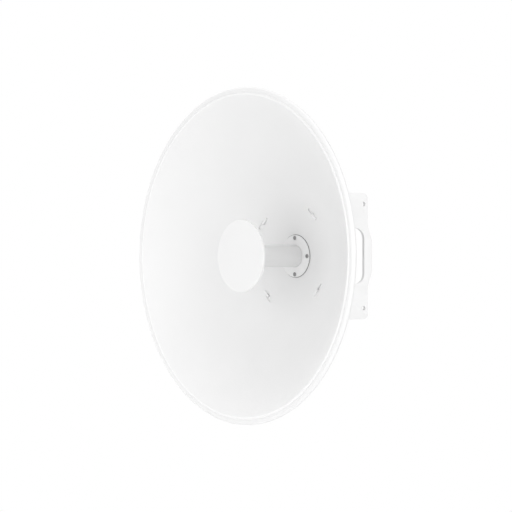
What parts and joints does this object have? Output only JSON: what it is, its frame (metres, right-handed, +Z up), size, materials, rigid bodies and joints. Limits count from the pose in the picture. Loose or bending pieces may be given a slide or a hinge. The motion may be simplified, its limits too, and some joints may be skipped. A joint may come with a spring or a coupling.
{
  "type": "point-to-point dish antenna",
  "caption": "Round parabolic dish antenna with a rolled rim, a tube feed with a disc sub-reflector, and a rear bracket with handle plates that goes against a mast.",
  "frame": {"origin": "middle of the flat rear face of the mast plate, which goes against the mast", "axes": "the dish looks along -Y, the mast is on the +Y side, +X is on the right seen from the front, +Z is up"},
  "size_m": [0.647, 0.3077, 0.647],
  "materials": {
    "white_paint": "smooth satin white powder coat",
    "white_plastic": "satin white moulded plastic",
    "bracket_paint": "fine-grained white powder coat",
    "stainless_steel": "plain stainless steel",
    "plated_brass": "nickel-plated brass, pale"
  },
  "bodies": {
    "root": {"reflector": "white_paint", "sub_reflector": "white_plastic", "feed_cone": "white_plastic", "feed_tube": "white_paint", "feed_flange": "white_paint", "flange_screw_right": "stainless_steel", "flange_screw_top": "stainless_steel", "flange_screw_left": "stainless_steel", "flange_screw_bottom": "stainless_steel", "backing_plate": "bracket_paint", "locking_tab_1": "bracket_paint", "locking_tab_2": "bracket_paint", "locking_tab_3": "bracket_paint", "locking_tab_4": "bracket_paint", "bracket_base": "bracket_paint", "base_bolt_1": "stainless_steel", "base_bolt_2": "stainless_steel", "base_bolt_3": "stainless_steel", "base_bolt_4": "stainless_steel", "side_plate_right": "bracket_paint", "side_plate_left": "bracket_paint", "mast_plate": "bracket_paint", "side_bolt_right_1": "stainless_steel", "side_bolt_right_2": "stainless_steel", "side_bolt_right_3": "stainless_steel", "side_bolt_right_4": "stainless_steel", "side_bolt_left_1": "stainless_steel", "side_bolt_left_2": "stainless_steel", "side_bolt_left_3": "stainless_steel", "side_bolt_left_4": "stainless_steel", "feed_housing": "white_paint", "housing_cover": "white_paint", "radio_socket_right": "plated_brass", "radio_socket_left": "plated_brass"}
  },
  "joints": []
}
